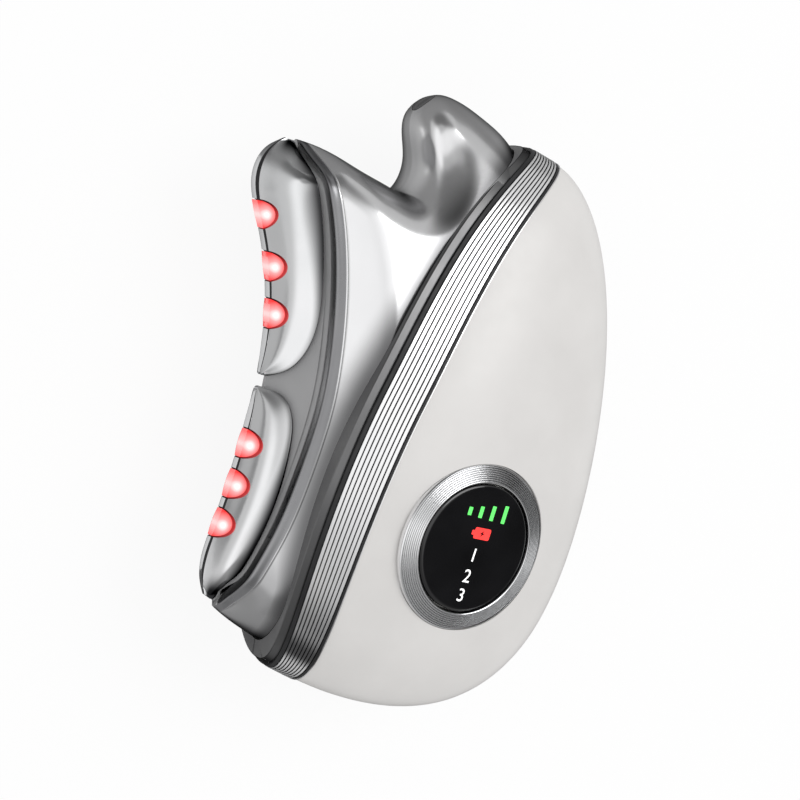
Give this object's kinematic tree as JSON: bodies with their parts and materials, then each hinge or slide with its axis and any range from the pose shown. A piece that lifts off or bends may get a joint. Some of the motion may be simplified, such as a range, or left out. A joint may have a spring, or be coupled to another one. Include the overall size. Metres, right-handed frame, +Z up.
{
  "type": "facial toning device",
  "caption": "Hand-held facial toning device: plated scraping head with a jaw notch, electrode pads and light lenses, ribbed band, pale grip and a round press display.",
  "frame": {"origin": "on the flat of the grip's back, in the middle of the flat, on the surface that the device lies on", "axes": "+Z up out of the display side, +Y along the device towards the prong, +X from the head to the grip"},
  "size_m": [0.0769, 0.1038, 0.0371],
  "materials": {
    "grip_pearl": "satin moulded shell",
    "head_plating": "bright plating over moulded plastic",
    "bright_chrome": "mirror polished",
    "collar_chrome": "polished",
    "carrier_gray": "fine matte moulding",
    "lens_red": "clear tinted light lens",
    "plug_black": "matte",
    "board_green": "solder masked board",
    "chip_black": "moulded chip",
    "chip_ivory": "light chip",
    "contact_gold": "plated",
    "plain_steel": "plain",
    "chassis_gray": "moulded frame",
    "cell_sleeve": "sleeved cell",
    "display_black": "gloss window",
    "carrier_white": "moulded light guide",
    "copper_wire": "enamelled wire",
    "ferrite_dark": "ferrite"
  },
  "bodies": {
    "root": {"grip_shell": "grip_pearl", "ribbed_band": "bright_chrome", "neck_collar": "collar_chrome", "head_shell_front": "head_plating", "head_shell_back": "head_plating", "edge_frame": "carrier_gray", "electrode_upper": "bright_chrome", "electrode_lower": "bright_chrome", "lenses_upper": "lens_red", "lenses_lower": "lens_red", "prong_plug": "plug_black", "head_dowels": "plain_steel", "light_board": "board_green", "light_chips": "chip_ivory", "contact_pins": "contact_gold", "chassis": "chassis_gray", "main_board": "board_green", "board_chips": "chip_black", "board_screws": "plain_steel", "battery_cell": "cell_sleeve", "battery_contacts": "contact_gold", "port_board": "board_green", "port_shell": "plain_steel", "port_tongue": "chip_black", "bezel_ring": "bright_chrome", "display_frame": "chassis_gray", "display_board": "board_green", "display_lights": "chip_ivory", "switch_body": "chip_black", "motor_can": "plain_steel", "motor_clip": "plain_steel", "coil_core": "ferrite_dark", "coil_winding": "copper_wire"},
    "button": {"display_lens": "display_black", "lens_carrier": "carrier_white"},
    "plunger": {"switch_plunger": "chip_black"},
    "rotor": {"motor_shaft": "plain_steel", "motor_weight": "contact_gold"}
  },
  "joints": [
    {"name": "button_press", "type": "slide", "parent": "root", "child": "button", "axis": [-0.2455, 0.0922, -0.965], "range_m": [0, 0.0005], "stiffness_N_per_m": 1500, "springref_m": -0.0005},
    {"name": "plunger_press", "type": "slide", "parent": "root", "child": "plunger", "axis": [-0.2455, 0.0922, -0.965], "range_m": [0, 0.0005]},
    {"name": "motor_spin", "type": "hinge", "parent": "root", "child": "rotor", "pos_m": [0.00624, 0.00592, 0.0256], "axis": [0.1908, 0.9816, 0], "continuous": true}
  ],
  "couplings": [
    {"joint": "plunger_press", "follows": "button_press", "ratio": 1}
  ]
}
